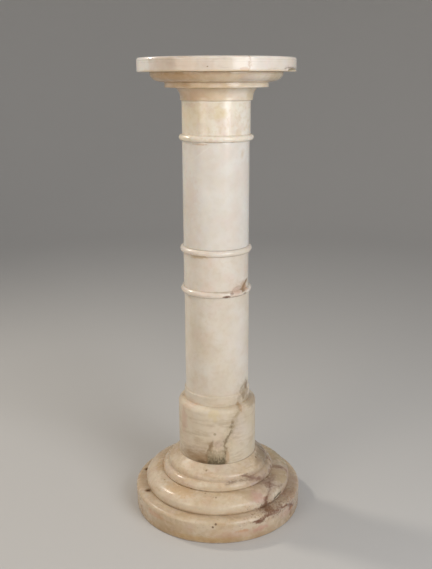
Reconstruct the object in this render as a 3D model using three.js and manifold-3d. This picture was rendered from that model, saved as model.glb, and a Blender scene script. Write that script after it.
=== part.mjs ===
// A pedestal column of veined alabaster: seven turned blocks bedded one on another.
// Lengths are millimetres, +Z is up, and the origin is the centre of the underside.
// Each moulding's radius is the one it grows out of plus its own projection, from the shaft outwards.

import * as THREE from "three";
import { mergeVertices } from "three/addons/utils/BufferGeometryUtils.js";
import Module from "manifold-3d";

const wasm = await Module();
wasm.setup();

// Sides of every turned surface, and the thin bed between two blocks
const facets = 48;
const bed = 0.3;

// Shaft: its common radius, and how much fuller two of its blocks are
const shaftRadius = 70.5;
const upperDrumExtra = 0.8;
const lowerShaftExtra = 0.2;

// Plain lengths of the four shaft blocks, without their mouldings
const lowerShaftLength = 216;
const ringDrumLength = 76;
const middleShaftLength = 221.2;
const upperDrumLength = 68.1;

// Half-round beads: all of one height, the upper ones a little bolder
const beadHeight = 13.2;
const lowBeadProjection = 6.2;
const middleBeadProjection = 6.8;
const topBeadProjection = 6.9;

// The blocks stand a little out of line with the base, to the left
const lowerShaftShift = -0.8;
const ringDrumShift = -2.1;
const middleShaftShift = -1.8;
const upperDrumShift = -0.8;

// Foot of the lower shaft: hollow, flat band, rounded shoulder and wide collar
const hollowHeight = 9.2;
const bandProjection = 2.8;
const bandHeight = 22;
const shoulderHeight = 12.8;
const shoulderProjection = 13.8;
const collarHeight = 119.5;

// Base, from the collar outwards and down: sloped step with a rolled edge, lip, torus and disc
const stepRim = 0.8;
const stepSlope = 36;
const stepRoll = 12;
const stepHeight = 23.7;
const stepProjection = 24.9;
const neckingHeight = 4.2;
const neckingProjection = 1;
const lipHeight = 15;
const lipProjection = 13.4;
const lipUndercut = 2;
const torusHeight = 37;
const torusCrown = 19.5;
const torusProjection = 39;
const torusUndercut = 4;
const discHeight = 51.5;
const discProjection = 24;
const discEase = 7.5;
const discBatter = 1;
const discFootEase = 2.8;

// Capital, from the shaft outwards and up: neck band, hollow, square fillet and quarter-round
const neckProjection = 3.8;
const neckHeight = 4.3;
const cavettoProjection = 15.1;
const cavettoHeight = 20.6;
const filletProjection = 16.4;
const filletHeight = 10;
const ovoloProjection = 29.7;
const ovoloHeight = 17.5;
const ovoloEdge = 2.4;

// Top slab, and the chip out of its lower edge: bearing from the front, towards the right
const slabProjection = 25.6;
const slabHeight = 27.6;
const slabEase = 4.2;
const slabFootEase = 1.5;
const chipBearing = 69;
const chipLength = 41;
const chipHeight = 8.6;
const chipDepth = 7;

// Stone colours
const creamStone = "#ece2d3";
const pinkishStone = "#e8dccf";
const honeyStone = "#e2d2b4";
const greyishStone = "#e3d9cb";
const tanStone = "#d8c6a8";
const baseStone = "#d6bf9c";

// Radii and heights that follow from the dimensions above
const lowerRadius = shaftRadius + lowerShaftExtra;
const bandRadius = lowerRadius + bandProjection;
const collarRadius = bandRadius + shoulderProjection;
const stepRadius = collarRadius + stepRim + stepProjection;
const lipFoot = stepRadius + neckingProjection;
const lipRadius = lipFoot + lipProjection;
const torusRadius = lipRadius + torusProjection;
const discRadius = torusRadius + discProjection;
const upperRadius = shaftRadius + upperDrumExtra;
const neckRadius = upperRadius + neckProjection;
const cavettoRadius = neckRadius + cavettoProjection;
const filletRadius = cavettoRadius + filletProjection;
const ovoloRadius = filletRadius + ovoloProjection;
const slabRadius = ovoloRadius + slabProjection;
const torusTop = discHeight + torusHeight - lipUndercut;
const baseHeight = discHeight + torusHeight + lipHeight + neckingHeight + stepHeight;

// Points of an elliptical arc, angles in degrees from straight outwards, turning upwards
function arc(centreRadius, centreHeight, across, up, from, to, steps) {
  const points = [];
  for (let i = 0; i <= steps; i += 1) {
    const angle = THREE.MathUtils.degToRad(from + ((to - from) * i) / steps);
    const radius = centreRadius + across * Math.cos(angle);
    points.push(new THREE.Vector2(radius, centreHeight + up * Math.sin(angle)));
  }
  return points;
}

function at(radius, height) {
  return new THREE.Vector2(radius, height);
}

// Half-round bead that stands on the given height and swells out of the given radius
function bead(radius, foot, projection) {
  const half = beadHeight / 2;
  return arc(radius, foot + half, projection, half, -90, 90, 6);
}

// Turns an outline, drawn from the underside to the top, about the vertical axis
function turned(outline, height) {
  const points = [at(0, 0), ...outline, at(0, height)];
  const profile = points.filter((p, i) => i === 0 || p.distanceTo(points[i - 1]) > 0.01);
  return new THREE.LatheGeometry(profile, facets).rotateX(Math.PI / 2);
}

function solid(geometry) {
  const bare = geometry.clone().deleteAttribute("normal").deleteAttribute("uv");
  const merged = mergeVertices(bare, 0.001);
  const triangles = [];
  for (let i = 0; i < merged.index.count; i += 3) {
    const [a, b, c] = merged.index.array.subarray(i, i + 3);
    if (a !== b && b !== c && c !== a) triangles.push(a, b, c);
  }
  const vertProperties = merged.attributes.position.array;
  return new wasm.Manifold(
    new wasm.Mesh({ numProp: 3, vertProperties, triVerts: new Uint32Array(triangles) }),
  );
}

function fromSolid(body) {
  const mesh = body.getMesh();
  return new THREE.BufferGeometry()
    .setAttribute("position", new THREE.BufferAttribute(mesh.vertProperties, 3))
    .setIndex(new THREE.BufferAttribute(mesh.triVerts, 1));
}

// Base: disc, torus, lip and sloped step, turned from one block
function baseGeometry() {
  const footRadius = discRadius - discBatter;
  const torusMiddle = torusTop - torusCrown;
  const torusInner = lipRadius - lipUndercut;
  const lipBottom = torusTop + lipUndercut;
  const rollMiddle = baseHeight - stepHeight;
  return turned(
    [
      ...arc(footRadius - discFootEase, discFootEase, discFootEase, discFootEase, -90, 0, 2),
      ...arc(discRadius - discEase, discHeight - discEase, discEase, discEase, 0, 90, 3),
      ...arc(
        torusRadius - torusUndercut,
        torusMiddle,
        torusUndercut,
        torusMiddle - discHeight,
        -90,
        0,
        3,
      ),
      ...arc(torusInner, torusMiddle, torusRadius - torusInner, torusCrown, 0, 90, 7),
      ...arc(lipFoot, lipBottom, lipProjection, lipHeight, 0, 90, 4),
      ...arc(stepRadius - stepRoll, rollMiddle, stepRoll, stepRoll, 0, 90 - stepSlope, 3),
      at(collarRadius + stepRim, baseHeight),
    ],
    baseHeight,
  );
}

// Lower shaft with its hollow, band, shoulder and collar, in one block
function lowerShaftGeometry() {
  const shoulderTop = collarHeight + shoulderHeight;
  const bandTop = shoulderTop + bandHeight;
  const hollowTop = bandTop + hollowHeight;
  const height = hollowTop + lowerShaftLength;
  return turned(
    [
      at(collarRadius, 0),
      ...arc(bandRadius, collarHeight, shoulderProjection, shoulderHeight, 0, 90, 5),
      at(bandRadius, bandTop),
      ...arc(bandRadius, hollowTop, -bandProjection, -hollowHeight, 90, 0, 3),
      at(lowerRadius, height),
    ],
    height,
  );
}

// Drum with a bead at each end
function ringDrumGeometry() {
  const upperBead = beadHeight + ringDrumLength;
  const height = upperBead + beadHeight;
  return turned(
    [
      ...bead(shaftRadius, 0, lowBeadProjection),
      ...bead(shaftRadius, upperBead, middleBeadProjection),
    ],
    height,
  );
}

function middleShaftGeometry() {
  return turned([at(shaftRadius, 0), at(shaftRadius, middleShaftLength)], middleShaftLength);
}

// Drum with a bead at its foot
function upperDrumGeometry() {
  const height = beadHeight + upperDrumLength;
  return turned([...bead(upperRadius, 0, topBeadProjection), at(upperRadius, height)], height);
}

// Capital: neck band, hollow, fillet and quarter-round, turned from one block
function capitalGeometry() {
  const filletFoot = neckHeight + cavettoHeight;
  const ovoloFoot = filletFoot + filletHeight;
  const ovoloTop = ovoloFoot + ovoloHeight;
  const height = ovoloTop + ovoloEdge;
  return turned(
    [
      at(neckRadius, 0),
      ...arc(cavettoRadius, neckHeight, -cavettoProjection, cavettoHeight, 0, 90, 6),
      at(filletRadius, filletFoot),
      at(filletRadius, ovoloFoot),
      ...arc(filletRadius, ovoloTop, ovoloProjection, -ovoloHeight, 90, 0, 6),
      at(ovoloRadius, height),
    ],
    height,
  );
}

// Round slab, with a shell-shaped chip struck out of its lower edge
function topSlabGeometry() {
  const slab = turned(
    [
      ...arc(slabRadius - slabFootEase, slabFootEase, slabFootEase, slabFootEase, -90, 0, 2),
      ...arc(slabRadius - slabEase, slabHeight - slabEase, slabEase, slabEase, 0, 90, 3),
    ],
    slabHeight,
  );
  const chip = new THREE.SphereGeometry(1, 14, 10);
  chip.scale(chipLength / 2, chipDepth, chipHeight);
  chip.translate(0, -slabRadius, 0);
  chip.rotateZ(THREE.MathUtils.degToRad(chipBearing));
  return fromSolid(solid(slab).subtract(solid(chip)));
}

const column = new THREE.Group();
let level = 0;

// Sets a block on the one below it and moves the level up to its own top
function place(name, geometry, shift, color, roughness) {
  const stone = new THREE.MeshStandardMaterial({ color, roughness, metalness: 0 });
  const mesh = new THREE.Mesh(geometry, stone);
  mesh.name = name;
  mesh.position.set(shift, 0, level);
  column.add(mesh);
  geometry.computeBoundingBox();
  level += geometry.boundingBox.max.z + bed;
}

place("base", baseGeometry(), 0, baseStone, 0.35);
place("lower_shaft", lowerShaftGeometry(), lowerShaftShift, tanStone, 0.35);
place("ring_drum", ringDrumGeometry(), ringDrumShift, creamStone, 0.35);
place("middle_shaft", middleShaftGeometry(), middleShaftShift, greyishStone, 0.35);
place("upper_drum", upperDrumGeometry(), upperDrumShift, honeyStone, 0.35);
place("capital", capitalGeometry(), 0, pinkishStone, 0.4);
place("top_slab", topSlabGeometry(), 0, creamStone, 0.3);

export default column;
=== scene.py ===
import math
from collections import namedtuple

import bmesh
import bpy
from mathutils import Matrix, Vector, noise


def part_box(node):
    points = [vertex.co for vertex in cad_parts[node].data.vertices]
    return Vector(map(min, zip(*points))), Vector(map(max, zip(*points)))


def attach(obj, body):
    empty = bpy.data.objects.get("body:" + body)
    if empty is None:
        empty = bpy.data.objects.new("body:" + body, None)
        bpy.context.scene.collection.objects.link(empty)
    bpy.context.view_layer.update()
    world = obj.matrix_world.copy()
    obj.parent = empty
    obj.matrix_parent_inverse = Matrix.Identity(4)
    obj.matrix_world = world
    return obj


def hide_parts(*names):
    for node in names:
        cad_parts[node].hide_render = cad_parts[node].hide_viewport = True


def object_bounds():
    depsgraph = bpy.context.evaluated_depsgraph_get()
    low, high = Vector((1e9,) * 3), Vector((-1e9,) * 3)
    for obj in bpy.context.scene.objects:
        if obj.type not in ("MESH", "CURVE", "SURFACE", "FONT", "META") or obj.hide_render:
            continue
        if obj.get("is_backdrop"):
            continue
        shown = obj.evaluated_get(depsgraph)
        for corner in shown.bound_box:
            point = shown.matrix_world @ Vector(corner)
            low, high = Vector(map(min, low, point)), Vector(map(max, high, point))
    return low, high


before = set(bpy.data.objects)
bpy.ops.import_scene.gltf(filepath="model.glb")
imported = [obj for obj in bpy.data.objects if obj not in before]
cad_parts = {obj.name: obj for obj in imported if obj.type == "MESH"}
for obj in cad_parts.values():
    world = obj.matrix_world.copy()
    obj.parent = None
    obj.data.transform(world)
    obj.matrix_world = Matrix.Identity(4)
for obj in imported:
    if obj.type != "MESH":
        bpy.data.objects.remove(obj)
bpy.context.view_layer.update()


# Base: one block of beige alabaster with mauve-brown veins, turned on a lathe to a thick disc, a torus,
# a rounded lip and a sloped step, then rubbed down and waxed. It stands loose and carries the column.

mm = 0.001
arris = 0.8 * mm  # every sharp edge of the turned stone is eased by this much
outline_step = 3 * mm  # no stretch of an outline is longer than this once it is turned
sides = 256
bed = 0.3 * mm  # the thin bed of cement that each block carries on its top
unevenness = 0.12 * mm  # hand polishing leaves the rounds this much out of true
uneven_patch = 60 * mm
crease = math.radians(35)  # faces that meet at less than this are shaded as one round


def arc(centre_radius, centre_height, across, up, start, end, steps=10):
    """Points of an elliptical arc, angles in degrees from straight outwards, turning upwards."""
    points = []
    for i in range(steps + 1):
        angle = math.radians(start + (end - start) * i / steps)
        points.append((centre_radius + across * math.cos(angle), centre_height + up * math.sin(angle)))
    return points


def eased_foot(radius, height, ease=arris):
    """The rounded lower edge of a face that stands at the given radius."""
    return arc(radius - ease, height + ease, ease, ease, -90, 0, 3)


def eased_top(radius, height, ease=arris):
    """The rounded upper edge of a face that stands at the given radius."""
    return arc(radius - ease, height - ease, ease, ease, 0, 90, 3)


def finely(outline):
    """The outline, drawn from the axis to the axis, with points added along its long stretches."""
    points = [Vector((0, outline[0][1]))]
    for corner in [*outline, (0, outline[-1][1])]:
        start, end = points[-1], Vector(corner)
        count = math.ceil((end - start).length / outline_step)
        points.extend(start.lerp(end, (i + 1) / count) for i in range(count))
    return points


def add(tree, kind, inputs=(), **settings):
    """Adds a node with its settings, and links or sets its inputs.

    A node that is given as an input stands for its first output.
    """
    made = tree.nodes.new(kind)
    for setting, value in settings.items():
        setattr(made, setting, value)
    for key, value in dict(inputs).items():
        source = value.outputs[0] if isinstance(value, bpy.types.Node) else value
        if isinstance(source, bpy.types.NodeSocket):
            tree.links.new(source, made.inputs[key])
        else:
            made.inputs[key].default_value = source
    return made


def turning_tree():
    """Geometry Nodes that turn an outline, a line of points in the XZ plane, about a vertical axis."""
    tree = bpy.data.node_groups.new("turned_stone", "GeometryNodeTree")
    for name, kind in (
        ("Outline", "NodeSocketGeometry"),
        ("Sides", "NodeSocketInt"),
        ("Axis", "NodeSocketVector"),
        ("Unevenness", "NodeSocketFloat"),
        ("Patch", "NodeSocketFloat"),
        ("Stone", "NodeSocketMaterial"),
    ):
        tree.interface.new_socket(name, in_out="INPUT", socket_type=kind)
    tree.interface.new_socket("Block", in_out="OUTPUT", socket_type="NodeSocketGeometry")
    given = add(tree, "NodeGroupInput").outputs
    # A grid with one row for each point of the outline and one column for each side
    rows = add(tree, "GeometryNodeAttributeDomainSize", {0: given["Outline"]}).outputs["Point Count"]
    length = add(tree, "ShaderNodeMath", {0: rows, 1: 1.0}, operation="SUBTRACT")
    columns = add(tree, "ShaderNodeMath", {0: given["Sides"], 1: 1.0})
    grid = add(tree, "GeometryNodeMeshGrid", {0: length, 1: given["Sides"], 2: rows, 3: columns})
    spot = add(tree, "ShaderNodeSeparateXYZ", {0: add(tree, "GeometryNodeInputPosition")})
    half = add(tree, "ShaderNodeMath", {0: length, 1: 2.0}, operation="DIVIDE")
    row = add(tree, "ShaderNodeMath", {0: spot.outputs["X"], 1: half}, operation="ADD")
    share = add(tree, "ShaderNodeMath", {0: spot.outputs["Y"], 1: given["Sides"]}, operation="DIVIDE")
    turn = add(tree, "ShaderNodeMath", {0: share, 1: math.tau}, operation="MULTIPLY")
    # The outline's radius and height at that row
    sample = add(
        tree,
        "GeometryNodeSampleIndex",
        {
            "Geometry": given["Outline"],
            "Value": add(tree, "GeometryNodeInputPosition"),
            "Index": add(tree, "FunctionNodeFloatToInt", {0: row}, rounding_mode="ROUND"),
        },
        data_type="FLOAT_VECTOR",
    )
    outline = add(tree, "ShaderNodeSeparateXYZ", {0: sample})
    across = add(tree, "ShaderNodeMath", {0: turn}, operation="SINE")
    along = add(tree, "ShaderNodeMath", {0: turn}, operation="COSINE")
    outwards = add(tree, "ShaderNodeCombineXYZ", {"X": across, "Y": along})
    radius = outline.outputs["X"]
    ring = add(tree, "ShaderNodeVectorMath", {0: outwards, "Scale": radius}, operation="SCALE")
    rise = add(tree, "ShaderNodeCombineXYZ", {"Z": outline.outputs["Z"]})
    point = add(tree, "ShaderNodeVectorMath", {0: ring, 1: rise}, operation="ADD")
    # Hand polishing leaves the rounds a little uneven, but the points on the axis stay on it
    detail = add(tree, "ShaderNodeMath", {0: 1.0, 1: given["Patch"]}, operation="DIVIDE")
    wobble = add(tree, "ShaderNodeTexNoise", {"Vector": point, "Scale": detail, "Detail": 0.0})
    swing = add(tree, "ShaderNodeMapRange", {0: wobble, 3: -1.0, 4: 1.0})
    depth = add(tree, "ShaderNodeMath", {0: swing, 1: given["Unevenness"]}, operation="MULTIPLY")
    off_axis = add(tree, "ShaderNodeMath", {0: radius, 1: 1 * mm}, operation="GREATER_THAN")
    depth = add(tree, "ShaderNodeMath", {0: depth, 1: off_axis}, operation="MULTIPLY")
    push = add(tree, "ShaderNodeVectorMath", {0: outwards, "Scale": depth}, operation="SCALE")
    point = add(tree, "ShaderNodeVectorMath", {0: point, 1: push}, operation="ADD")
    point = add(tree, "ShaderNodeVectorMath", {0: point, 1: given["Axis"]}, operation="ADD")
    shaped = add(tree, "GeometryNodeSetPosition", {0: grid, "Position": point})
    # The last side meets the first, and the ends on the axis become one point each
    closed = add(tree, "GeometryNodeMergeByDistance", {"Geometry": shaped, "Distance": 0.01 * mm})
    real = add(tree, "GeometryNodeRealizeInstances", {0: closed})
    coated = add(tree, "GeometryNodeSetMaterial", {"Geometry": real, "Material": given["Stone"]})
    add(tree, "NodeGroupOutput", {0: coated})
    return tree


def turned(name, axis, outline, stone):
    """A block turned from its outline about a vertical axis, as a plain mesh."""
    points = finely(outline)
    line = bpy.data.meshes.new(name + "_outline")
    stretches = [(i, i + 1) for i in range(len(points) - 1)]
    line.from_pydata([(point.x, 0, point.y) for point in points], stretches, [])
    piece = bpy.data.objects.new(name, line)
    bpy.context.scene.collection.objects.link(piece)
    lathe = piece.modifiers.new("lathe", "NODES")
    lathe.node_group = lathe_tree
    inputs = [socket for socket in lathe_tree.interface.items_tree if socket.in_out == "INPUT"]
    sockets = {socket.name: socket.identifier for socket in inputs}
    lathe[sockets["Sides"]] = sides
    lathe[sockets["Axis"]] = axis
    lathe[sockets["Unevenness"]] = unevenness
    lathe[sockets["Patch"]] = uneven_patch
    lathe[sockets["Stone"]] = stone
    evaluated = piece.evaluated_get(bpy.context.evaluated_depsgraph_get())
    mesh = bpy.data.meshes.new_from_object(evaluated)
    piece.modifiers.remove(lathe)
    piece.data = mesh
    bpy.data.meshes.remove(line)
    mesh.name = name
    mesh.shade_smooth()
    mesh.set_sharp_from_angle(angle=crease)
    return piece


def linear(colour):
    """Linear RGBA of an sRGB hex colour."""
    channels = [int(colour[i : i + 2], 16) / 255 for i in (1, 3, 5)]
    return (*[c / 12.92 if c <= 0.04045 else ((c + 0.055) / 1.055) ** 2.4 for c in channels], 1.0)


def block(node):
    """Where the frame has a turned block: the foot of its axis, its height and its widest radius."""
    low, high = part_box(node)
    return Vector(((low.x + high.x) / 2, 0, low.z)), high.z - low.z, (high.x - low.x) / 2


# A block's material, its node tree, and what tells where a point is: its place on the block, its
# bearing in degrees from the front towards the right, and its height in mm
Face = namedtuple("Face", ("stone", "tree", "place", "bearing", "height"))


def stone_surface(name, axis):
    """A new material for a block that was turned about the given axis, ready for its looks."""
    stone = bpy.data.materials.new(name)
    stone.use_nodes = True
    tree = stone.node_tree
    tree.nodes.clear()
    place = add(tree, "ShaderNodeTexCoord").outputs["Object"]
    spot = add(tree, "ShaderNodeSeparateXYZ", {0: place})
    right = add(tree, "ShaderNodeMath", {0: spot.outputs["X"], 1: axis.x}, operation="SUBTRACT")
    front = add(tree, "ShaderNodeMath", {0: spot.outputs["Y"], 1: -1.0}, operation="MULTIPLY")
    turn = add(tree, "ShaderNodeMath", {0: right, 1: front}, operation="ARCTAN2")
    bearing = add(tree, "ShaderNodeMath", {0: turn}, operation="DEGREES")
    height = add(tree, "ShaderNodeMath", {0: spot.outputs["Z"], 1: mm}, operation="DIVIDE")
    return Face(stone, tree, place, bearing, height)


def cloud(face, size, seed, detail=3.0, flat=1.0, tilt=(0, 0, 0)):
    """Noise with features of about the given size, flat times as wide as high, all tilted alike."""
    shift = (0.37 * seed, 0.71 * seed, 0.53 * seed)
    moved = add(
        face.tree,
        "ShaderNodeMapping",
        {"Vector": face.place, "Location": shift, "Rotation": tilt, "Scale": (1, 1, flat)},
    )
    return add(
        face.tree,
        "ShaderNodeTexNoise",
        {"Vector": moved, "Scale": 1 / size, "Detail": detail, "Roughness": 0.55},
    ).outputs["Fac"]


# Settings of a node that brings its value from one range to another with a gentle start and end
softly = {"interpolation_type": "SMOOTHSTEP"}


def tinted(tree, colour, tint, mask, *further_masks):
    """The colour, a hex value or a socket, with a tint laid over it where all the masks are."""
    for further in further_masks:
        mask = add(tree, "ShaderNodeMath", {0: mask, 1: further}, operation="MULTIPLY")
    under = linear(colour) if isinstance(colour, str) else colour
    return add(tree, "ShaderNodeMix", {0: mask, 6: under, 7: linear(tint)}, data_type="RGBA").outputs[2]


def clouded(face, colour, tint, size, strength, seed, level=0.5, blur=0.12):
    """Soft clouds of a tint, wherever the noise is above the level."""
    mask = add(
        face.tree,
        "ShaderNodeMapRange",
        {0: cloud(face, size, seed), 1: level - blur, 2: level + blur, 3: 0.0, 4: strength},
        **softly,
    )
    return tinted(face.tree, colour, tint, mask)


def streaked(face, colour, tint, size, strength, seed, level=0.54):
    """Faint streaks that lie level, as the stone was laid down, and come and go."""
    tree = face.tree
    line = add(
        tree,
        "ShaderNodeMapRange",
        {0: cloud(face, size, seed, flat=7.0), 1: level - 0.07, 2: level + 0.1, 3: 0.0, 4: strength},
        **softly,
    )
    patch = add(
        tree,
        "ShaderNodeMapRange",
        {0: cloud(face, 1.2 * size, seed + 1, flat=1.6), 1: 0.42, 2: 0.6},
        **softly,
    )
    return tinted(tree, colour, tint, line, patch)


def vein_and_shadow_line(face, along, across, colour, tint, path, width, strength, wander=1.5, broken=0.35):
    """A line down the middle of a path of (along, across) points, with a faint halo. It draws the veins,
    and one painted shadow in the slab's chip.

    Its width and how far it wanders are in the unit of across, and broken is how much its gaps fade.
    """
    tree = face.tree
    first, last = path[0][0], path[-1][0]
    least = min(p[1] for p in path)
    reach = max(max(p[1] for p in path) - least, 0.001)
    share = add(tree, "ShaderNodeMapRange", {0: along, 1: first, 2: last})
    bend = add(tree, "ShaderNodeFloatCurve", {"Value": share})
    line = bend.mapping.curves[0]
    for i, (distance, side) in enumerate(path):
        spot = ((distance - first) / (last - first), (side - least) / reach)
        point = line.points[i] if i < 2 else line.points.new(*spot)
        point.location = spot
        point.handle_type = "AUTO_CLAMPED"
    bend.mapping.update()
    middle = add(tree, "ShaderNodeMapRange", {0: bend, 3: least, 4: least + reach})
    # It wanders and swells a little, and fades at its ends and in its gaps
    drift = cloud(face, 9 * mm, 3.0)
    sway = add(tree, "ShaderNodeMapRange", {0: drift, 3: -2 * wander, 4: 2 * wander})
    middle = add(tree, "ShaderNodeMath", {0: middle, 1: sway}, operation="ADD")
    apart = add(tree, "ShaderNodeMath", {0: across, 1: middle}, operation="SUBTRACT")
    apart = add(tree, "ShaderNodeMath", {0: apart}, operation="ABSOLUTE")
    girth = add(
        tree,
        "ShaderNodeMapRange",
        {0: cloud(face, 10 * mm, 9.0), 1: 0.35, 2: 0.65, 3: 0.45, 4: 1.35},
        **softly,
    )
    apart = add(tree, "ShaderNodeMath", {0: apart, 1: girth}, operation="DIVIDE")
    core = add(
        tree,
        "ShaderNodeMapRange",
        {0: apart, 1: 0.1 * width, 2: width, 3: strength, 4: 0.0},
        **softly,
    )
    halo = add(
        tree,
        "ShaderNodeMapRange",
        {0: apart, 1: 0.0, 2: 3.5 * width, 3: 0.3 * strength, 4: 0.0},
        **softly,
    )
    core = add(tree, "ShaderNodeMath", {0: core, 1: halo}, operation="MAXIMUM")
    fade = 0.06 * abs(last - first) + 0.4
    inside = add(tree, "ShaderNodeMath", {0: along, 1: (first + last) / 2}, operation="SUBTRACT")
    inside = add(tree, "ShaderNodeMath", {0: inside}, operation="ABSOLUTE")
    half = abs(last - first) / 2
    ends = add(
        tree,
        "ShaderNodeMapRange",
        {0: inside, 1: half - fade, 2: half + fade, 3: 1.0, 4: 0.0},
        **softly,
    )
    gaps = add(
        tree,
        "ShaderNodeMapRange",
        {0: cloud(face, 7 * mm, 8.0), 1: 0.35, 2: 0.55, 3: 1.0 - broken, 4: 1.0},
        **softly,
    )
    return tinted(tree, colour, tint, core, ends, gaps)


def stain_and_light_patch(
    face,
    colour,
    tint,
    centre,
    size,
    strength,
    ragged=0.8,
    grain=8 * mm,
    flat=1.0,
    core=0.45,
    rim=1.1,
):
    """A patch about a centre (bearing, height), of a half width in degrees and a half height in mm. Most
    are stains; some are painted shade and some painted light.

    It fades from its core to its rim, both shares of the half sizes. Its edge is ragged in lumps of
    the given grain, which are flat times as wide as high.
    """
    tree = face.tree
    offsets = []
    for value, middle, half in zip((face.bearing, face.height), centre, size):
        gap = add(tree, "ShaderNodeMath", {0: value, 1: middle}, operation="SUBTRACT")
        offsets.append(add(tree, "ShaderNodeMath", {0: gap, 1: half}, operation="DIVIDE"))
    offset = add(tree, "ShaderNodeCombineXYZ", {0: offsets[0], 1: offsets[1]})
    away = add(tree, "ShaderNodeVectorMath", {0: offset}, operation="LENGTH").outputs["Value"]
    rough = cloud(face, grain, 5.0, flat=flat)
    edge = add(tree, "ShaderNodeMapRange", {0: rough, 3: -ragged, 4: ragged})
    away = add(tree, "ShaderNodeMath", {0: away, 1: edge}, operation="ADD")
    mask = add(tree, "ShaderNodeMapRange", {0: away, 1: core, 2: rim, 3: strength, 4: 0.0}, **softly)
    return tinted(tree, colour, tint, mask)


def on_block(axis, radius, bearing, height):
    """A place on a block, by its radius in metres, bearing in degrees and height in mm."""
    turn = math.radians(bearing)
    return (axis.x + radius * math.sin(turn), -radius * math.cos(turn), height * mm)


def speck(face, colour, tint, centre, reach, strength):
    """A small round speck of dirt at a place on the block."""
    tree = face.tree
    away = add(tree, "ShaderNodeVectorMath", {0: face.place, 1: centre}, operation="DISTANCE")
    mask = add(
        tree,
        "ShaderNodeMapRange",
        {0: away.outputs["Value"], 1: 0.6 * reach, 2: 1.3 * reach, 3: strength, 4: 0.0},
        **softly,
    )
    return tinted(tree, colour, tint, mask)


def level_band(face, colour, tint, level, spread, strength):
    """A band of a tint all round at the given height, thicker in places: painted shade along grooves,
    joints and feet, a painted highlight at one top arris, and faint level lines.
    """
    tree = face.tree
    gap = add(tree, "ShaderNodeMath", {0: face.height, 1: level}, operation="SUBTRACT")
    gap = add(tree, "ShaderNodeMath", {0: gap}, operation="ABSOLUTE")
    line = add(tree, "ShaderNodeMapRange", {0: gap, 1: 0.0, 2: spread, 3: strength, 4: 0.0}, **softly)
    patch = add(
        tree,
        "ShaderNodeMapRange",
        {0: cloud(face, 30 * mm, 11.0), 1: 0.35, 2: 0.6, 3: 0.45, 4: 1.0},
        **softly,
    )
    return tinted(tree, colour, tint, line, patch)


def wild_veins(face, colour, tint, size, width, strength, seed, clear=70.0):
    """Thin veins at random over the sides and back, where the bearing is past the clear angle."""
    tree = face.tree
    long = cloud(face, 0.6 * size, seed, 4.0, flat=0.3, tilt=(0.7, 0.45, 0))
    line = add(tree, "ShaderNodeMath", {0: long, 1: 0.5}, operation="SUBTRACT")
    ridge = add(tree, "ShaderNodeMath", {0: line}, operation="ABSOLUTE")
    thread = add(tree, "ShaderNodeMapRange", {0: ridge, 1: 0.0, 2: width, 3: strength, 4: 0.0}, **softly)
    patch = add(
        tree,
        "ShaderNodeMapRange",
        {0: cloud(face, 1.3 * size, seed + 4), 1: 0.48, 2: 0.6},
        **softly,
    )
    aside = add(tree, "ShaderNodeMath", {0: face.bearing}, operation="ABSOLUTE")
    away = add(tree, "ShaderNodeMapRange", {0: aside, 1: clear, 2: clear + 25}, **softly)
    return tinted(tree, colour, tint, thread, patch, away)


def polished(face, colour, roughness=0.2, coat=0.12, shine=0.4):
    """Rubbed and waxed alabaster: light sinks a few mm into it, and its shine is soft and uneven."""
    tree = face.tree
    wear = add(
        tree,
        "ShaderNodeMapRange",
        {0: cloud(face, 18 * mm, 2.0), 1: 0.35, 2: 0.65, 3: roughness - 0.03, 4: roughness + 0.06},
        **softly,
    )
    swell = cloud(face, 14 * mm, 7.0, detail=1.0, flat=1.4)
    relief = {"Strength": 0.25, "Distance": 0.35 * mm, "Height": swell}
    bump = add(tree, "ShaderNodeBump", relief)
    shader = add(
        tree,
        "ShaderNodeBsdfPrincipled",
        {
            "Base Color": colour,
            "Roughness": wear,
            "IOR": 1.53,
            "Specular IOR Level": shine,
            "Subsurface Weight": 0.3,
            "Subsurface Radius": (1.0, 0.75, 0.5),
            "Subsurface Scale": 7 * mm,
            "Coat Weight": coat,
            "Coat Roughness": 0.1,
            "Normal": bump,
        },
        subsurface_method="RANDOM_WALK",
    )
    add(tree, "ShaderNodeOutputMaterial", {"Surface": shader})


def bitten(piece, bites):
    """Knocks broken hollows out of a piece.

    A bite is a place, its half sizes and the bearing that it faces.
    """
    ball = bmesh.new()
    for i, (place, half_sizes, bearing) in enumerate(bites):
        facing = Matrix.Rotation(math.radians(bearing), 4, "Z")
        made = bmesh.ops.create_icosphere(ball, subdivisions=4, radius=1.0)["verts"]
        # Broad and fine lumps, so that the hollow looks broken and not scooped
        for vert in made:
            broad = noise.noise(1.6 * vert.co + Vector((3 * i, 0, 0)))
            fine = noise.noise(6 * vert.co + Vector((0, 5 * i, 0)))
            rough = 1 + 0.22 * broad + 0.05 * fine
            vert.co = Vector(a * b for a, b in zip(vert.co * rough, half_sizes))
            vert.co = facing @ vert.co + Vector(place)
    mesh = bpy.data.meshes.new("bites")
    ball.to_mesh(mesh)
    ball.free()
    stone = next(coat for coat in piece.data.materials if coat)
    bites_object = bpy.data.objects.new("bites", mesh)
    bpy.context.scene.collection.objects.link(bites_object)
    cut = piece.modifiers.new("cut", "BOOLEAN")
    cut.operation = "DIFFERENCE"
    cut.object = bites_object
    cut.solver = "EXACT"
    evaluated = piece.evaluated_get(bpy.context.evaluated_depsgraph_get())
    result = bpy.data.meshes.new_from_object(evaluated)
    piece.modifiers.remove(cut)
    piece.data = result
    bpy.data.objects.remove(bites_object)
    result.materials.clear()
    result.materials.append(stone)
    result.polygons.foreach_set("material_index", [0] * len(result.polygons))
    result.shade_smooth()
    result.set_sharp_from_angle(angle=crease)


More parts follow.
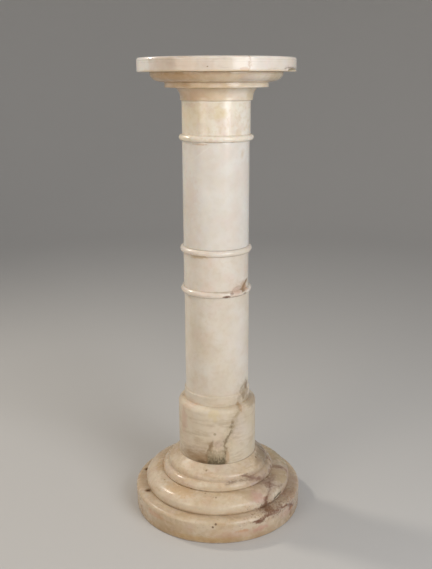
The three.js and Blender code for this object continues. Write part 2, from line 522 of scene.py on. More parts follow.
lathe_tree = turning_tree()
base_foot, base_height, disc_radius = block("base")
disc_height = 51.5 * mm
disc_ease = 7.5 * mm
disc_batter = 1 * mm
disc_foot_ease = 2.8 * mm
disc_projection = 24 * mm
torus_height = 35 * mm
torus_projection = 39 * mm
torus_crown = 19.5 * mm
torus_undercut = 4 * mm
lip_height = 15 * mm
lip_projection = 13.4 * mm
lip_undercut = 2 * mm
necking = 1 * mm
step_roll = 12 * mm
step_slope = 36
step_height = 23.7 * mm
step_projection = 24.9 * mm

# Radii and heights that follow from them
torus_radius = disc_radius - disc_projection
torus_middle = disc_height + torus_height - torus_crown
lip_radius = torus_radius - torus_projection
lip_foot = lip_radius - lip_projection
lip_bottom = disc_height + torus_height + lip_undercut
torus_inner = lip_radius - lip_undercut
step_radius = lip_foot - necking
step_top_radius = step_radius - step_projection
roll_middle = base_height - step_height
base_outline = [
    *eased_foot(disc_radius - disc_batter, 0, disc_foot_ease),
    *arc(disc_radius - disc_ease, disc_height - disc_ease, disc_ease, disc_ease, 0, 90),
    *arc(
        torus_radius - torus_undercut,
        torus_middle,
        torus_undercut,
        torus_middle - disc_height,
        -90,
        0,
    ),
    *arc(torus_inner, torus_middle, torus_radius - torus_inner, torus_crown, 0, 90, 20),
    *arc(lip_foot, lip_bottom, lip_projection, lip_height, 0, 90, 14),
    *arc(step_radius - step_roll, roll_middle, step_roll, step_roll, 0, 90 - step_slope),
    (step_top_radius, base_height + bed),
]

# Polished alabaster of the darkest block: beige, mottled with honey on the left, and with mauve-brown
# veins on the right. Its wax has dulled, so the shine is softer than the others'.
face = stone_surface("alabaster_beige_turned_waxed", base_foot)
tone = clouded(face, "#d9c7ae", "#cdb695", 90 * mm, 0.8, 1)
tone = clouded(face, tone, "#d4b69c", 26 * mm, 0.35, 2, level=0.55)
tone = clouded(face, tone, "#e2d6c3", 40 * mm, 0.4, 3, level=0.55)
tone = clouded(face, tone, "#c7a79a", 34 * mm, 0.25, 4, level=0.6, blur=0.1)
tone = clouded(face, tone, "#b99d7a", 9 * mm, 0.25, 5, level=0.56)
tone = streaked(face, tone, "#bfa27c", 45 * mm, 0.45, 6)
tone = clouded(face, tone, "#86664a", 3 * mm, 0.5, 8, level=0.69, blur=0.04)
tone = stain_and_light_patch(face, tone, "#cda266", (-36, 84), (18, 7), 0.4)
tone = stain_and_light_patch(face, tone, "#c9a364", (-8, 9), (30, 8), 0.45, flat=3.0)
for tint, centre, size, strength in (
    ("#cf9a78", (-48, 35), (11, 9), 0.4),
    ("#cda08c", (14, 20), (20, 12), 0.35),
    ("#c98f66", (16, 27), (6, 4), 0.4),
    ("#c9a06c", (-88, 92), (18, 9), 0.5),
):
    tone = stain_and_light_patch(face, tone, tint, centre, size, strength)
tone = stain_and_light_patch(face, tone, "#f0e4d0", (-8, 64), (62, 14), 0.38, grain=30 * mm, core=0.2, rim=1.2)
tone = stain_and_light_patch(face, tone, "#ab9686", (66, 60), (36, 70), 0.5, grain=24 * mm)
tone = stain_and_light_patch(
    face, tone, "#7f6e58", (90, 118), (34, 18), 0.7, ragged=0.5, grain=14 * mm, core=0.3, rim=1.3
)
for tint, centre, size, strength in (
    ("#b8a07a", (72, 80), (13, 9), 0.5),
    ("#c7a491", (86, 66), (7, 18), 0.5),
    ("#cda596", (56, 30), (11, 13), 0.45),
    ("#e6d9c3", (53, 66), (7, 11), 0.6),
    ("#e6d6c0", (50, 50), (4, 2.5), 0.5),
    ("#e0cfc6", (39, 92), (7, 5), 0.5),
):
    tone = stain_and_light_patch(face, tone, tint, centre, size, strength)
tone = wild_veins(face, tone, "#8a6458", 75 * mm, 0.02, 0.7, 2, clear=95.0)
# Veins that run down, as (height, bearing), with their width in degrees and their strength
right_veins = (
    (
        ((121, 92), (102, 87), (90, 72), (86, 60), (84, 53), (79, 47), (71, 40), (62, 39), (50, 40)),
        3.2,
        0.6,
    ),
    (((112, 28), (107, 34), (103, 38), (100, 42.5), (96, 47), (90, 49)), 4.5, 0.8),
    (((97, 60), (94, 56), (89, 54)), 3.0, 0.55),
    (((87, 82), (81, 85.5), (76, 84), (72, 77.5), (62, 72), (51, 68)), 2.6, 0.55),
    (((51, 34), (47, 31), (43, 28), (36, 27)), 3.5, 0.65),
)
for path, width, strength in right_veins:
    tone = vein_and_shadow_line(face, face.height, face.bearing, tone, "#7f5b48", path, width, strength)
# Veins that lie level, as (bearing, height), with their width in mm and their strength
level_veins = (
    (((33, 47), (38, 50.3), (43, 48.8), (46, 48.9), (52, 47), (57, 42), (61, 33), (65, 26)), 3.6, 0.75),
    (((42, 88), (49, 86.3), (61, 85.6), (70, 86)), 2.2, 0.55),
    (((53, 83.5), (56, 80), (59, 76), (64, 74)), 1.8, 0.45),
    (((8, 101), (20, 103), (34, 101)), 2.6, 0.5),
)
for path, width, strength in level_veins:
    tone = vein_and_shadow_line(face, face.bearing, face.height, tone, "#6f5244", path, width, strength, wander=1.2)
# Blotches where the veins meet and swell: centre, half sizes and strength
blotches = (
    ((28.5, 41), (4.5, 6), 0.9),
    ((38, 56), (6, 7), 0.6),
    ((25.5, 42.5), (3, 3), 0.7),
    ((39.6, 69.5), (3, 6), 0.75),
    ((39.8, 62), (2.5, 4), 0.5),
    ((39.5, 53), (5, 5), 0.65),
    ((35.5, 47), (6, 3.5), 0.6),
    ((51, 83.5), (5, 3.2), 0.55),
    ((68, 93), (3, 4), 0.5),
    ((76, 95), (3, 5), 0.5),
    ((59.5, 31), (4.2, 6.5), 0.8),
    ((46.5, 96.5), (4.5, 4), 0.85),
    ((39, 101.5), (6, 4), 0.6),
    ((32, 110), (6, 4), 0.5),
    ((58.5, 39), (3.5, 6), 0.7),
    ((60, 17), (3, 7), 0.5),
    ((85, 86), (4, 5), 0.5),
    ((41, 45.5), (8, 3.5), 0.5),
    ((52, 46), (4, 2.5), 0.6),
)
for centre, size, strength in blotches:
    tone = stain_and_light_patch(face, tone, "#7b5643", centre, size, strength, ragged=1.1, grain=4 * mm)
tone = stain_and_light_patch(
    face, tone, "#85604f", (47, 49), (24, 14), 0.6, ragged=5, grain=4 * mm, core=-0.35, rim=0.1
)
for tint, centre, size, strength in (
    ("#c08a5c", (60, 29), (3, 4), 0.6),
    ("#cf9f92", (29, 23), (7, 7), 0.5),
    ("#bfa18a", (31, 77), (8, 9), 0.5),
    ("#efe3cf", (49, 64), (5, 8), 0.4),
    ("#a98a74", (66, 50), (9, 4), 0.45),
):
    tone = stain_and_light_patch(face, tone, tint, centre, size, strength)
tone = stain_and_light_patch(face, tone, "#9c8c6c", (114, 74), (28, 24), 0.65, grain=14 * mm, core=0.2, rim=1.2)
tone = stain_and_light_patch(face, tone, "#cda296", (34, 76), (6, 12), 0.45)
# A dark stroke low on the torus, and grains of dirt on its top and on the step
stroke = ((48.5, 59.5), (53, 62.5), (58.5, 64.5))
tone = vein_and_shadow_line(
    face, face.bearing, face.height, tone, "#5b533c", stroke, 4.5, 0.9, wander=0.5, broken=0.0
)
grains = (
    (139.2, -59.7, 85.3),
    (126.5, -27.4, 86.8),
    (133, -11.8, 86.1),
    (144.9, -1.6, 84.1),
    (100.2, -14.5, 122.9),
)
for radius, turn, level in grains:
    centre = on_block(base_foot, radius * mm, turn, level)
    tone = speck(face, tone, "#7d6148", centre, 2.2 * mm, 0.6)
# Two pits in the side of the disc and one in the step, then two notches in the disc's top by the
# torus, each with the reach of its dirt
pits = (
    (on_block(base_foot, disc_radius, -3.3, 41), 2.6 * mm),
    (on_block(base_foot, disc_radius - 1 * mm, -1.4, 47.5), 2.4 * mm),
    (on_block(base_foot, 96.4 * mm, 64.5, 125.6), 2.1 * mm),
)
notches = (
    (on_block(base_foot, 170 * mm, -69.5, 51.5), 5 * mm),
    (on_block(base_foot, 173 * mm, -102.5, 51.5), 5.5 * mm),
)
for centre, reach in notches:
    tone = speck(face, tone, "#8a6a48", centre, 1.7 * reach, 0.7)
for centre, reach in pits + notches:
    tone = speck(face, tone, "#6b4e35", centre, reach, 0.8)
tone = stain_and_light_patch(face, tone, "#a98f80", (46, 98), (16, 14), 0.45, core=0.1, rim=1.2)
# Painted shade: darker in the grooves below and above the torus and at the neck under the step, and
# darker towards the foot of the disc.
for tint, level, spread, strength in (
    ("#a08563", 53.5, 6, 0.4),
    ("#ad9270", 86.5, 4, 0.4),
    ("#a58a66", 106, 3, 0.25),
    ("#a3835c", 0, 40, 0.6),
):
    tone = level_band(face, tone, tint, level, spread, strength)
polished(face, tone, roughness=0.22, coat=0.0, shine=0.27)
base = turned("stone_base", base_foot, base_outline, face.stone)
bites = [(centre, (1.2 * reach, 0.45 * reach, 0.6 * reach), 0) for centre, reach in pits + notches]
bitten(base, bites)
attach(base, "root")
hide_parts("base")


# Lower shaft: a tan-white block, turned with a wide collar, a rounded shoulder, a flat band and a small
# hollow under its plain shaft. It is bedded on the base with a thread of cement.

shaft_foot, lower_height, collar_radius = block("lower_shaft")
collar_height = 119.5 * mm
shoulder_height = 12.8 * mm
shoulder_projection = 13.8 * mm
band_height = 22 * mm
band_projection = 2.8 * mm
hollow_height = 9.2 * mm
band_radius = collar_radius - shoulder_projection
lower_radius = band_radius - band_projection
band_top = collar_height + shoulder_height + band_height
hollow_top = band_top + hollow_height
lower_outline = [
    *eased_foot(collar_radius, 0),
    *arc(band_radius, collar_height, shoulder_projection, shoulder_height, 0, 90),
    *eased_top(band_radius, band_top, 0.5 * mm),
    *arc(band_radius, hollow_top, -band_projection, -hollow_height, 80, 0),
    *eased_top(lower_radius, lower_height + bed, 0.3 * mm),
]

# Polished alabaster, cream above and tan below, with one brown vein that comes round from the right
# and runs down the collar. The collar's wax is dull and its shine broad.
face = stone_surface("alabaster_tan_veined_waxed", shaft_foot)
tone = clouded(face, "#e5dccf", "#dacdb9", 100 * mm, 0.8, 21)
tree = face.tree
below = add(tree, "ShaderNodeMapRange", {0: face.height, 1: 300, 2: 250}, **softly)
half_below = add(tree, "ShaderNodeMath", {0: below, 1: 0.5}, operation="MULTIPLY")
tone = tinted(tree, tone, "#d4c09e", half_below)
tone = clouded(face, tone, "#dcc3b3", 36 * mm, 0.25, 22, level=0.56)
tone = clouded(face, tone, "#e9decd", 45 * mm, 0.3, 23, level=0.55)
tone = clouded(face, tone, "#c5b08c", 10 * mm, 0.15, 24, level=0.56)
collar_streaks = streaked(face, tone, "#b9a382", 42 * mm, 0.4, 25, level=0.5)
tone = add(tree, "ShaderNodeMix", {0: below, 6: tone, 7: collar_streaks}, data_type="RGBA").outputs[2]
tone = wild_veins(face, tone, "#8c6c4e", 85 * mm, 0.02, 0.7, 23)
# Painted light: a paler band down the left side.
tone = stain_and_light_patch(face, tone, "#fbf5ec", (-66, 400), (26, 120), 0.35, grain=30 * mm, core=0, rim=1.2)
tone = stain_and_light_patch(face, tone, "#ece3da", (40, 430), (34, 110), 0.45, grain=30 * mm, core=0, rim=1.2)
tone = stain_and_light_patch(face, tone, "#d2a595", (-58, 222), (9, 36), 0.34)
tone = stain_and_light_patch(face, tone, "#d9b39f", (-50, 262), (16, 14), 0.25)
tone = stain_and_light_patch(face, tone, "#dcc792", (-3, 248), (10, 12), 0.36, ragged=1.3, grain=14 * mm)
# Painted shade: brown on the left of the collar's foot, darkest in a line along the joint.
tone = stain_and_light_patch(
    face,
    tone,
    "#9c7c58",
    (-30, 144),
    (46, 27),
    0.85,
    ragged=0.6,
    grain=14 * mm,
    flat=3.0,
    core=-0.1,
    rim=1.3,
)
tone = stain_and_light_patch(
    face,
    tone,
    "#6b5236",
    (-20, 135),
    (17, 9),
    0.85,
    ragged=0.6,
    grain=12 * mm,
    flat=3.0,
    core=0.0,
    rim=1.2,
)
tone = stain_and_light_patch(face, tone, "#ab9a82", (60, 290), (15, 22), 0.7, ragged=1.0, grain=14 * mm)
tone = stain_and_light_patch(face, tone, "#a68f74", (74, 262), (28, 14), 0.6, grain=14 * mm)
for tint, centre, size, strength in (
    ("#85684c", (66, 300), (8, 13), 0.65),
    ("#9c8468", (52, 280), (8, 10), 0.5),
    ("#b98d60", (38, 262), (4, 14), 0.5),
    ("#c4ab9c", (1, 181), (7, 9), 0.5),
    ("#9d7e5c", (-9.5, 175), (4.5, 14), 0.5),
    ("#b58c62", (14.5, 150), (4, 22), 0.4),
):
    tone = stain_and_light_patch(face, tone, tint, centre, size, strength)
tone = vein_and_shadow_line(
    face,
    face.height,
    face.bearing,
    tone,
    "#9c8463",
    ((316, 64), (303, 56), (291, 46), (279, 43), (263, 36), (250, 31), (228, 22)),
    8.0,
    0.5,
    wander=1.5,
    broken=0.5,
)
tone = stain_and_light_patch(face, tone, "#e0d3c6", (38, 212), (17, 34), 0.5, grain=16 * mm, core=0.1, rim=1.2)
tone = vein_and_shadow_line(
    face,
    face.height,
    face.bearing,
    tone,
    "#756040",
    ((232, 23), (214, 21), (195, 14.8), (187, 12), (173, 11.1), (154, 11.3), (131, 12.3)),
    4.4,
    0.75,
    wander=1.6,
    broken=0.5,
)
tone = vein_and_shadow_line(
    face,
    face.height,
    face.bearing,
    tone,
    "#876c4a",
    ((190, -6), (180, -8.5), (172, -10.8), (160, -14), (145, -15), (131, -15)),
    4.0,
    0.7,
    wander=1.4,
    broken=0.3,
)

# The dark patch between the two veins at the foot: it darkens downwards in three steps, with streaks
# that run upwards out of it. Its middle and where its sides fade are in degrees.
patch_bearing = -1.5
patch_core = 11
patch_rim = 14.5
aside = add(tree, "ShaderNodeMath", {0: face.bearing, 1: patch_bearing}, operation="SUBTRACT")
aside = add(tree, "ShaderNodeMath", {0: aside}, operation="ABSOLUTE")
between = add(
    tree,
    "ShaderNodeMapRange",
    {0: aside, 1: patch_core, 2: patch_rim, 3: 1.0, 4: 0.0},
    **softly,
)
streaks = cloud(face, 4 * mm, 26, flat=0.5)
rise = add(tree, "ShaderNodeMapRange", {0: streaks, 3: -26, 4: 26})
level = add(tree, "ShaderNodeMath", {0: face.height, 1: rise}, operation="ADD")
for low, high, tint, strength in (
    (150, 172, "#a09378", 0.6),
    (144, 156, "#7c6f55", 0.6),
    (134, 147, "#4f422d", 0.68),
):
    depth = add(tree, "ShaderNodeMapRange", {0: level, 1: low, 2: high, 3: strength, 4: 0.0}, **softly)
    tone = tinted(tree, tone, tint, between, depth)
pit = on_block(shaft_foot, collar_radius, -3.5, 205.5)
pit_facing = -3
pit_size = (1.4 * mm, 0.25 * mm, 2.4 * mm)
tone = speck(face, tone, "#93825c", pit, 3.2 * mm, 0.55)
# Painted shade: darker lines at the collar's foot joint, under the band and in the hollow above it.
for tint, level, spread, strength in (
    ("#8f7656", 132, 2.5, 0.5),
    ("#b59b76", 263.5, 3, 0.12),
    ("#b59b76", 288, 4, 0.25),
):
    tone = level_band(face, tone, tint, level, spread, strength)
polished(face, tone, roughness=0.32, coat=0.0, shine=0.22)
lower_shaft = turned("stone_lower_shaft", shaft_foot, lower_outline, face.stone)
bitten(lower_shaft, [(pit, pit_size, pit_facing)])
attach(lower_shaft, "root")
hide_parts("lower_shaft")


# Ring drum: a short drum of cream alabaster, turned with a half-round bead at each end and bedded on
# the lower shaft.

ring_foot, ring_height, middle_bead_radius = block("ring_drum")
bead_height = 13.2 * mm
middle_bead_projection = 6.8 * mm
low_bead_projection = 6.2 * mm
drum_radius = middle_bead_radius - middle_bead_projection


def bead(radius, foot, projection):
    """A half-round bead that stands at the height of its foot and swells out of the given radius."""
    half = bead_height / 2
    return arc(radius, foot + half, projection, half, -90, 90, 16)


ring_outline = [
    *bead(drum_radius, 0, low_bead_projection),
    *bead(drum_radius, ring_height - bead_height, middle_bead_projection),
]

# Polished cream alabaster, bright and even, with a few rusty-brown stains on and above the lower bead
face = stone_surface("alabaster_cream_stained_waxed", ring_foot)
tone = clouded(face, "#ebe2d6", "#e1d5c5", 80 * mm, 0.7, 31)
tone = clouded(face, tone, "#e6cfc0", 35 * mm, 0.4, 32, level=0.55)
tone = clouded(face, tone, "#cdb894", 9 * mm, 0.15, 33, level=0.56)
tone = wild_veins(face, tone, "#96775a", 70 * mm, 0.02, 0.6, 33)
# Painted light: a paler band down the left side.
tone = stain_and_light_patch(face, tone, "#fbf6ee", (-62, 563), (36, 70), 0.45, grain=30 * mm, core=0, rim=1.2)
# The first patch is painted shade: tan under the middle bead on the left; the other two are pinkish
# stains.
for tint, centre, size, strength in (
    ("#c6a575", (-32, 600), (22, 6), 0.5),
    ("#d3ab8b", (55, 533), (9, 14), 0.45),
    ("#ddb9a6", (38, 525), (12, 9), 0.45),
):
    tone = stain_and_light_patch(face, tone, tint, centre, size, strength)
tone = vein_and_shadow_line(
    face,
    face.height,
    face.bearing,
    tone,
    "#93734f",
    ((520, 47), (525, 51), (535, 59.5), (544, 68)),
    10.0,
    0.85,
    broken=0.0,
)
tone = vein_and_shadow_line(
    face,
    face.bearing,
    face.height,
    tone,
    "#b08f76",
    ((27, 522), (34, 531), (43, 533.5), (52, 527)),
    3.6,
    0.4,
)
tone = vein_and_shadow_line(
    face,
    face.bearing,
    face.height,
    tone,
    "#9a7c66",
    ((-4, 524.5), (10, 524), (28, 523)),
    1.2,
    0.45,
    wander=0.5,
)
# The last patch is painted shade: brown under the lower bead on the right; the others are stains.
for tint, centre, size, strength in (
    ("#8f6e5a", (26, 521), (4, 4), 0.6),
    ("#8e7a66", (53.7, 516), (5, 3.5), 0.6),
    ("#c99d78", (62, 527), (6, 8), 0.55),
    ("#b4917a", (36, 513), (22, 3), 0.5),
):
    tone = stain_and_light_patch(face, tone, tint, centre, size, strength)
tone = stain_and_light_patch(face, tone, "#6a4434", (17, 515.3), (7, 3.4), 0.85, ragged=0.6, grain=4 * mm)
# Painted shade: darker lines at the foot, over the lower bead and under the middle bead.
for tint, level, spread, strength in (
    ("#a58c6c", 511.5, 1.5, 0.3),
    ("#b59d7c", 525, 1.2, 0.35),
    ("#b59d7c", 600.4, 1.5, 0.35),
):
    tone = level_band(face, tone, tint, level, spread, strength)
polished(face, tone)
ring_drum = turned("stone_ring_drum", ring_foot, ring_outline, face.stone)
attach(ring_drum, "root")
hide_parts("ring_drum")


# Middle shaft: a plain drum of greyish-white alabaster, the longest of the three above the collar,
# turned straight and bedded on the ring drum.

middle_foot, middle_height, middle_radius = block("middle_shaft")
middle_outline = [
    *eased_foot(middle_radius, 0, 0.4 * mm),
    *eased_top(middle_radius, middle_height + bed, 0.3 * mm),
]

# Polished greyish-white alabaster, the least marked block: bright, with broad faint clouds
face = stone_surface("alabaster_grey_white_waxed", middle_foot)
tone = clouded(face, "#ece6de", "#e5dccf", 110 * mm, 0.8, 41)
tone = clouded(face, tone, "#e3cfc1", 50 * mm, 0.35, 42, level=0.56)
tone = clouded(face, tone, "#dad0c0", 12 * mm, 0.2, 43, level=0.55)
tone = wild_veins(face, tone, "#a28a70", 90 * mm, 0.018, 0.5, 43)
tone = vein_and_shadow_line(
    face,
    face.height,
    face.bearing,
    tone,
    "#f1ebe2",
    ((797, -46), (812, -28), (828, -10)),
    5.0,
    0.6,
    broken=0.2,
)
tone = stain_and_light_patch(face, tone, "#d3b78f", (50.4, 811), (7, 13), 0.4, grain=10 * mm, core=0)
# Painted light: a paler band down the left side.
tone = stain_and_light_patch(face, tone, "#fcf7ef", (-56, 725), (42, 150), 0.4, grain=30 * mm, core=0, rim=1.2)
tone = stain_and_light_patch(face, tone, "#dfc8b9", (-50, 720), (20, 60), 0.25)
# Painted shade: a thin brown shadow at the top on the left, under the upper drum's bead.
tone = stain_and_light_patch(face, tone, "#cba582", (-26, 832), (16, 2.5), 0.5, grain=5 * mm)
# Painted shade: a darker line at the foot, under the ring drum's bead.
tone = level_band(face, tone, "#ab9676", 614, 1.5, 0.4)
polished(face, tone)
middle_shaft = turned("stone_middle_shaft", middle_foot, middle_outline, face.stone)
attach(middle_shaft, "root")
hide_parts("middle_shaft")


# Upper drum: a short drum of honey-coloured alabaster, turned with a bead at its foot and bedded on
# the middle shaft.

upper_foot, upper_height, top_bead_radius = block("upper_drum")
top_bead_projection = 6.9 * mm
upper_radius = top_bead_radius - top_bead_projection
upper_outline = [
    *bead(upper_radius, 0, top_bead_projection),
    *eased_top(upper_radius, upper_height + bed, 0.2 * mm),
]

# Polished alabaster with honey-yellow patches, paler and pinker on the right
face = stone_surface("alabaster_honey_waxed", upper_foot)
tone = clouded(face, "#f5ecde", "#eee3cc", 60 * mm, 0.6, 51)
tone = clouded(face, tone, "#e9d4c4", 30 * mm, 0.5, 52, level=0.55)
tone = clouded(face, tone, "#d2b884", 10 * mm, 0.25, 53, level=0.56)
tone = wild_veins(face, tone, "#a98a5c", 70 * mm, 0.02, 0.5, 53)
# Painted light: a paler band down the left side.
tone = stain_and_light_patch(face, tone, "#faf4e8", (-66, 876), (34, 50), 0.5, grain=20 * mm, core=0, rim=1.2)
tone = stain_and_light_patch(face, tone, "#e4d2ad", (-42, 884), (44, 34), 0.3, grain=20 * mm)
tone = stain_and_light_patch(face, tone, "#e4d3a4", (5, 893), (12, 16), 0.45, ragged=1.1, grain=18 * mm)
tone = stain_and_light_patch(face, tone, "#d5a98a", (-44, 908), (16, 6), 0.2)
tone = stain_and_light_patch(face, tone, "#cfb3a6", (-24, 868), (12, 9), 0.15)
# A painted highlight: a pale line at the very top, where the neck of the capital stands on it and the
# top arris catches the light
top_highlight = add(
    face.tree,
    "ShaderNodeMapRange",
    {0: face.height, 1: 913.5, 2: 914.5, 3: 0.0, 4: 0.6},
    **softly,
)
tone = tinted(face.tree, tone, "#e6d6c1", top_highlight)
# The pale band at the top is the same painted highlight; the two darker ones are painted shade under and
# over the bead.
for tint, level, spread, strength in (
    ("#f8f2e8", 914, 1.2, 0.8),
    ("#a98f68", 836, 1.5, 0.45),
    ("#b79d74", 849, 1.2, 0.35),
):
    tone = level_band(face, tone, tint, level, spread, strength)
polished(face, tone)
upper_drum = turned("stone_upper_drum", upper_foot, upper_outline, face.stone)
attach(upper_drum, "root")
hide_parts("upper_drum")


# Capital: one block of cream alabaster, turned with a neck band, a hollow, a square fillet and a
# quarter-round. It is bedded on the upper drum and carries the slab.

capital_foot, capital_height, ovolo_radius = block("capital")
neck_height = 4.3 * mm
cavetto_height = 20.6 * mm
cavetto_projection = 15.1 * mm
fillet_height = 10 * mm
fillet_projection = 16.4 * mm
ovolo_height = 17.5 * mm
ovolo_projection = 29.7 * mm
fillet_radius = ovolo_radius - ovolo_projection
cavetto_radius = fillet_radius - fillet_projection
neck_radius = cavetto_radius - cavetto_projection
fillet_foot = neck_height + cavetto_height
ovolo_foot = fillet_foot + fillet_height
ovolo_top = ovolo_foot + ovolo_height
capital_outline = [
    *eased_foot(neck_radius, 0, 0.2 * mm),
    *arc(cavetto_radius, neck_height, -cavetto_projection, cavetto_height, 0, 90, 14),
    *eased_foot(fillet_radius, fillet_foot),
    *eased_top(fillet_radius, ovolo_foot, 0.5 * mm),
    *arc(fillet_radius, ovolo_top, ovolo_projection, -ovolo_height, 90, 0, 16),
    *eased_top(ovolo_radius, capital_height + bed, 0.5 * mm),
]

# Polished cream alabaster, browner on the quarter-round under the slab and on the left: painted shade
face = stone_surface("alabaster_cream_turned_waxed", capital_foot)
tone = clouded(face, "#eadbc6", "#dfc9a9", 70 * mm, 0.7, 61)
tone = clouded(face, tone, "#e2c6b2", 34 * mm, 0.4, 62, level=0.55)
tone = clouded(face, tone, "#c9ad84", 10 * mm, 0.2, 63, level=0.56)
tone = wild_veins(face, tone, "#a0805c", 80 * mm, 0.02, 0.5, 63)
tone = stain_and_light_patch(face, tone, "#cdb6a8", (27, 961), (10, 8), 0.5)
# Painted shade: browner over the left of the block and on the left of the quarter-round.
tone = stain_and_light_patch(face, tone, "#cdaa83", (-48, 945), (52, 60), 0.4, grain=30 * mm, core=0, rim=1.3)
tone = stain_and_light_patch(face, tone, "#c6a37b", (-40, 963), (55, 12), 0.55, grain=20 * mm, core=0.2, rim=1.2)
tone = stain_and_light_patch(face, tone, "#f2e9dc", (42, 940), (30, 50), 0.6, grain=30 * mm, core=0, rim=1.3)
# Warmer and paler places round the fillet, quarter-round and hollow; the brown ones on the left are
# painted shade, and the pale one far on the left is painted light
for tint, centre, size, strength, core in (
    ("#ecdccd", (0, 947), (9, 6), 0.5, 0),
    ("#cdb48f", (34, 947.5), (30, 6), 0.45, 0),
    ("#bfae86", (66, 962), (26, 12), 0.5, 0),
    ("#b8946a", (-36, 961), (28, 12), 0.45, 0.1),
    ("#c2a37a", (-32, 947), (20, 6), 0.45, 0.1),
    ("#c2a37a", (15, 947), (9, 6), 0.5, 0.1),
    ("#c3ae84", (62, 930), (18, 16), 0.4, 0.1),
    ("#efe4d6", (-66, 947), (14, 6), 0.5, 0),
):
    tone = stain_and_light_patch(face, tone, tint, centre, size, strength, grain=20 * mm, core=core)
# Painted shade: darker lines at the fillet's foot, low on the quarter-round and under the slab.
for tint, level, spread, strength in (
    ("#a5815a", 953.5, 2.5, 0.5),
    ("#b8966c", 941, 2.5, 0.4),
    ("#a5815a", 972, 2.5, 0.4),
):
    tone = level_band(face, tone, tint, level, spread, strength)
polished(face, tone)
capital = turned("stone_capital", capital_foot, capital_outline, face.stone)
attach(capital, "root")
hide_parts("capital")


# Top slab: a thick round slab of the palest block, with eased edges and a shell-shaped chip knocked out
# of its lower arris on the right. It lies on the capital.

slab_foot, slab_height, slab_radius = block("top_slab")
slab_ease = 4.2 * mm
slab_foot_ease = 1.5 * mm
slab_outline = [
    *eased_foot(slab_radius, 0, slab_foot_ease),
    *arc(slab_radius - slab_ease, slab_height - slab_ease, slab_ease, slab_ease, 0, 90, 6),
]

# Polished alabaster of the palest block, clouded with pink and crossed by one tan vein
face = stone_surface("alabaster_pale_turned_waxed", slab_foot)
tone = clouded(face, "#ebe1d5", "#e4d6c4", 90 * mm, 0.7, 71)
tone = clouded(face, tone, "#e8d2c8", 45 * mm, 0.4, 72, level=0.55)
tone = clouded(face, tone, "#dcd3c4", 11 * mm, 0.2, 73, level=0.56)
tone = streaked(face, tone, "#d0c1b0", 40 * mm, 0.55, 74)
tone = wild_veins(face, tone, "#b08e6c", 110 * mm, 0.018, 0.5, 73)
tone = stain_and_light_patch(face, tone, "#d8bfa9", (-24, 984), (28, 18), 0.45, grain=20 * mm, core=0, rim=1.3)
# Painted light: a paler band down the left side.
tone = stain_and_light_patch(face, tone, "#faf7f3", (-70, 985), (24, 40), 0.85, grain=20 * mm, core=0.3, rim=1.3)
tone = stain_and_light_patch(face, tone, "#c9b39f", (-22, 985), (18, 24), 0.3, grain=20 * mm, core=0, rim=1.3)
tone = stain_and_light_patch(face, tone, "#cfa685", (19.5, 976), (4, 4), 0.5)
# The tan vein is a thin sheet through the whole block: across it is counted in mm from its plane
sheet_normal = (0.966 / mm, 0.26 / mm, 0)
sheet_offset = 19.6
tree = face.tree
sheet = add(tree, "ShaderNodeVectorMath", {0: face.place, 1: sheet_normal}, operation="DOT_PRODUCT")
sheet = add(tree, "ShaderNodeMath", {0: sheet.outputs["Value"], 1: sheet_offset}, operation="SUBTRACT")
tone = vein_and_shadow_line(
    face,
    face.height,
    sheet,
    tone,
    "#b08a62",
    ((965, -4), (984, 0), (1006, 2)),
    3.6,
    0.5,
    wander=4.0,
)
tone = stain_and_light_patch(face, tone, "#8f7050", (-5.8, 980.7), (0.7, 1.4), 0.7, ragged=0.3)
# Painted shade in the chip: a dark patch, and a dark line along its upper edge where the hollow faces
# down.
tone = stain_and_light_patch(face, tone, "#8f8468", (68, 975.5), (9, 3.4), 0.85, ragged=0.4, grain=4 * mm)
tone = vein_and_shadow_line(
    face,
    face.bearing,
    face.height,
    tone,
    "#7f6a55",
    ((54, 977), (62, 979), (75, 978.5), (80, 976)),
    2.0,
    0.7,
)
# The first band is painted shade, warmer and darker along the slab's lower edge over the capital; the
# other two are faint level lines near the top.
for tint, level, spread, strength in (
    ("#dcc08e", 972.5, 5, 0.5),
    ("#b9a995", 994, 1.0, 0.4),
    ("#b9a995", 989.5, 0.8, 0.25),
):
    tone = level_band(face, tone, tint, level, spread, strength)
polished(face, tone, roughness=0.21)
top_slab = turned("stone_top_slab", slab_foot, slab_outline, face.stone)
chip_bearing = 67
chip_size = (24 * mm, 7.5 * mm, 8 * mm)
chip_place = on_block(slab_foot, slab_radius, chip_bearing, slab_foot.z / mm)
bitten(top_slab, [(chip_place, chip_size, chip_bearing)])
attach(top_slab, "root")
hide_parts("top_slab")


# Floor, light and camera: matt pale paper that curves up all round, the photograph's viewpoint and
# four studio lamps in an even pale room.

paper_radius = 3
sweep_radius = 2
wall_top = 3.5
paper_sides = 96
paper_middle = 1 * mm
sweep_line = [
    (paper_middle, 0),
    *arc(paper_radius, sweep_radius, sweep_radius, sweep_radius, -90, 0, 24),
    (paper_radius + sweep_radius, wall_top),
]
rows = len(sweep_line)
turns = [math.tau * i / paper_sides for i in range(paper_sides)]
floor_mesh = bpy.data.meshes.new("floor")
floor_points = [
    (radius * math.cos(turn), radius * math.sin(turn), level)
    for turn in turns
    for radius, level in sweep_line
]
floor_faces = []
for i in range(paper_sides):
    here = rows * i
    there = rows * ((i + 1) % paper_sides)
    floor_faces.extend((here + j, there + j, there + j + 1, here + j + 1) for j in range(rows - 1))
floor_mesh.from_pydata(floor_points, [], floor_faces)
floor_mesh.flip_normals()
floor_mesh.shade_smooth()
floor = bpy.data.objects.new("floor", floor_mesh)
bpy.context.scene.collection.objects.link(floor)
paper = bpy.data.materials.new("pale_paper_matt")
paper.use_nodes = True
paper_shader = paper.node_tree.nodes["Principled BSDF"]
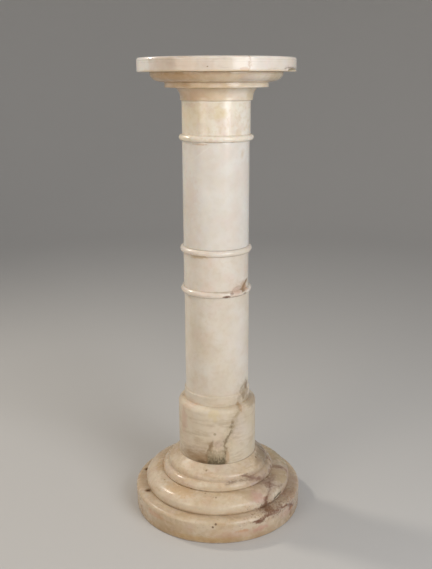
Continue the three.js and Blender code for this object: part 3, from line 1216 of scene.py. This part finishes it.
paper_shader.inputs["Base Color"].default_value = linear("#c8c5c1")
paper_shader.inputs["Roughness"].default_value = 0.9
floor_mesh.materials.append(paper)
floor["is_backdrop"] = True

camera_data = bpy.data.cameras.new("camera")
camera_data.sensor_fit = "VERTICAL"
camera_data.sensor_height = 36
photo_height_px = 569
focal_length_px = 750
camera_data.lens = camera_data.sensor_height * focal_length_px / photo_height_px
camera = bpy.data.objects.new("camera", camera_data)
bpy.context.scene.collection.objects.link(camera)
camera_place = (0, -1.588, 0.9605)
camera_yaw = math.radians(0.09)
camera_pitch = math.radians(90 - 15.4)  # it looks 15.4 degrees down
camera_roll = math.radians(-0.2)
camera.matrix_world = (
    Matrix.Translation(camera_place)
    @ Matrix.Rotation(camera_yaw, 4, "Z")
    @ Matrix.Rotation(camera_pitch, 4, "X")
    @ Matrix.Rotation(camera_roll, 4, "Z")
)
bpy.context.scene.camera = camera
bpy.context.scene.view_settings.view_transform = "Standard"

world = bpy.data.worlds.new("studio")
world.use_nodes = True
room = world.node_tree.nodes["Background"]
room.inputs["Color"].default_value = linear("#d3d4d6")
room.inputs["Strength"].default_value = 0.56
bpy.context.scene.world = world


def lamp(name, place, aim, size, power, colour):
    """A round studio lamp of the given width in metres and power in watts, turned to face its aim."""
    light = bpy.data.lights.new(name, "AREA")
    light.shape = "DISK"
    light.size = size
    light.energy = power
    light.color = linear(colour)[:3]
    stand = bpy.data.objects.new(name, light)
    stand.location = place
    stand.rotation_euler = (Vector(aim) - Vector(place)).to_track_quat("-Z", "Y").to_euler()
    bpy.context.scene.collection.objects.link(stand)


lamp("front_softbox", (1.25, -1.62, 1.3), (0, 0, 0.75), 1.3, 28, "#f8fbff")
lamp("left_fill", (-1.5, -1.6, 1.2), (0, 0, 0.6), 1.2, 12, "#fff2df")
lamp("right_lamp", (0.8, -1.1, 2.6), (0, 0, 0.5), 0.2, 2, "#ffffff")
lamp("left_lamp", (-1.32, 0.7, 1.76), (0, 0, 0.6), 0.28, 13, "#fff8ec")

low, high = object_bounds()
